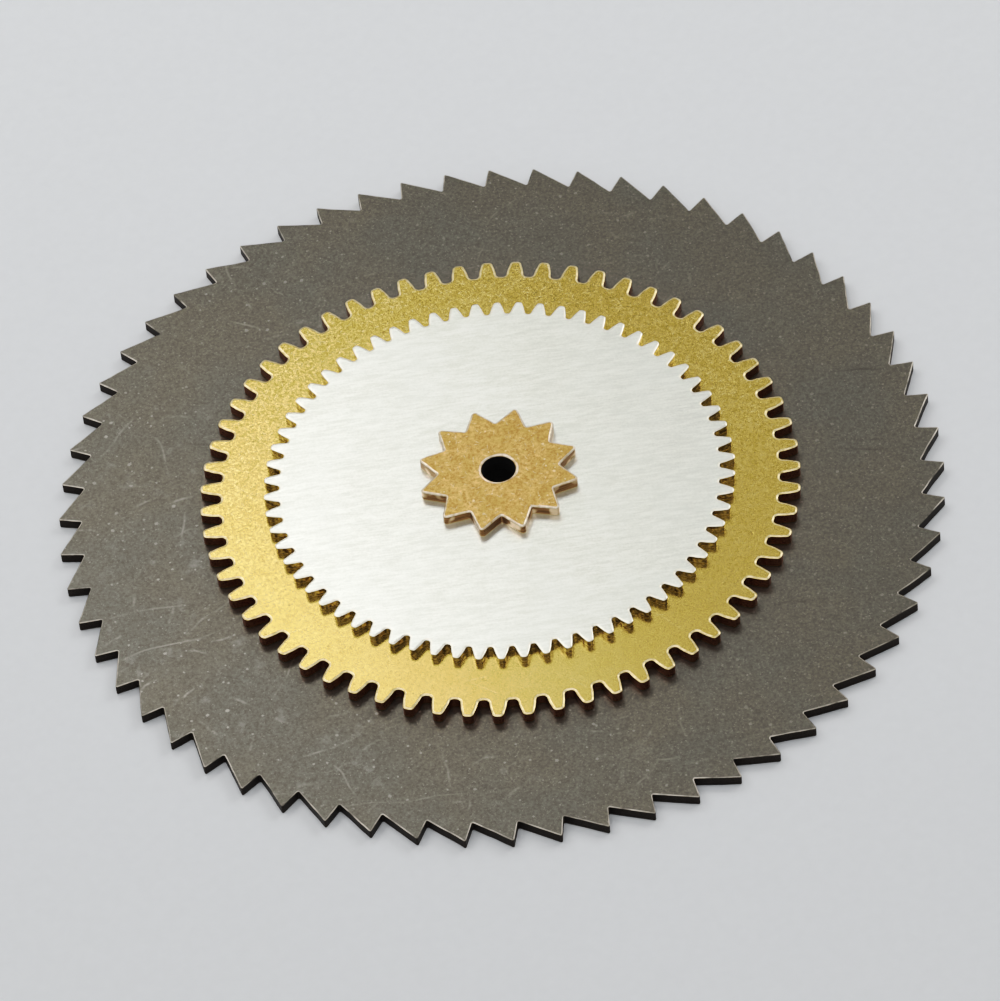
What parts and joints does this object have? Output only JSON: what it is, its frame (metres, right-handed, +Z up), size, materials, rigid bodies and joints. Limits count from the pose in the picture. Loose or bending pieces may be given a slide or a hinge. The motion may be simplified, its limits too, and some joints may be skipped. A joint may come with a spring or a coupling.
{
  "type": "gear wheel stack",
  "caption": "Stack of thin flat toothed wheels on one open bore: saw-toothed ratchet wheel at the bottom, two spur wheels, star wheel on top. Each turns freely.",
  "frame": {"origin": "on the common axis of the wheels, at the ratchet wheel's underside, which is the face that the stack rests on", "axes": "+Z up along the bore, from the ratchet wheel to the star wheel; +X and +Y lie in the wheels' plane"},
  "size_m": [0.0384, 0.0384, 0.0019],
  "materials": {
    "patinated_steel": "satin, dark brown-grey patina with fine scratches",
    "brass": "satin, finely mottled",
    "aluminium": "fine straight brushing",
    "bronze": "satin, speckled"
  },
  "bodies": {
    "ratchet_wheel": {"steel_ratchet_wheel": "patinated_steel"},
    "brass_wheel": {"brass_spur_wheel": "brass"},
    "aluminium_wheel": {"aluminium_spur_wheel": "aluminium"},
    "star_wheel": {"bronze_star_wheel": "bronze"}
  },
  "joints": [
    {"name": "brass_wheel_spin", "type": "hinge", "parent": "ratchet_wheel", "child": "brass_wheel", "pos_m": [0, 0, 0.00077], "axis": [0, 0, 1], "continuous": true},
    {"name": "aluminium_wheel_spin", "type": "hinge", "parent": "brass_wheel", "child": "aluminium_wheel", "pos_m": [0, 0, 0.00125], "axis": [0, 0, 1], "continuous": true},
    {"name": "star_wheel_spin", "type": "hinge", "parent": "aluminium_wheel", "child": "star_wheel", "pos_m": [0, 0, 0.0017], "axis": [0, 0, 1], "continuous": true}
  ]
}
